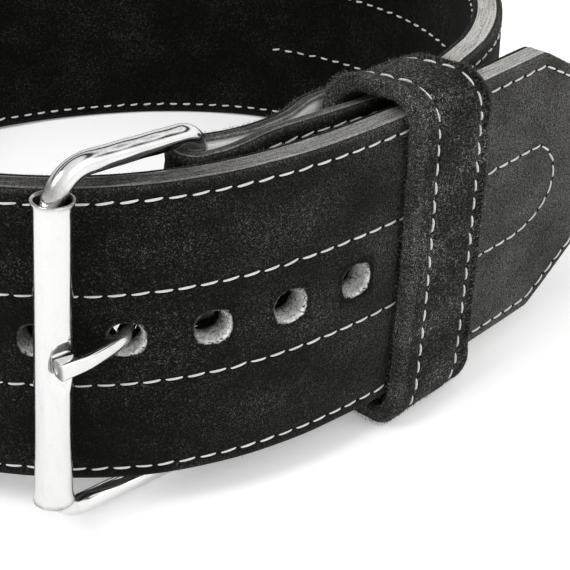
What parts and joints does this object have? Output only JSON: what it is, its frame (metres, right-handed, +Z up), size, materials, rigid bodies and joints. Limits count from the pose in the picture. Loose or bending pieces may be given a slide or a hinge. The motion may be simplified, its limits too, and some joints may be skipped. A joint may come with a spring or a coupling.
{
  "type": "weightlifting belt",
  "caption": "Wide thick suede-faced leather lifting belt, fastened by a roller buckle, with a prong through its hole and a wide keeper loop.",
  "frame": {"origin": "middle of the underside of the box round the belt as it stands on its lower edge", "axes": "+Z up, -Y to the wearer's front where the buckle is, +X to the side that the tip points to"},
  "size_m": [0.3454, 0.3156, 0.1271],
  "materials": {
    "suede": "brushed nap, matte black",
    "leather": "cut edge, grey, fibrous",
    "plated_steel": "bright plated, a little scuffed"
  },
  "bodies": {
    "root": {"outer_suede": "suede", "leather_core": "leather", "inner_suede": "suede", "keeper": "suede", "buckle_frame": "plated_steel", "roller": "plated_steel", "prong": "plated_steel"}
  },
  "joints": []
}
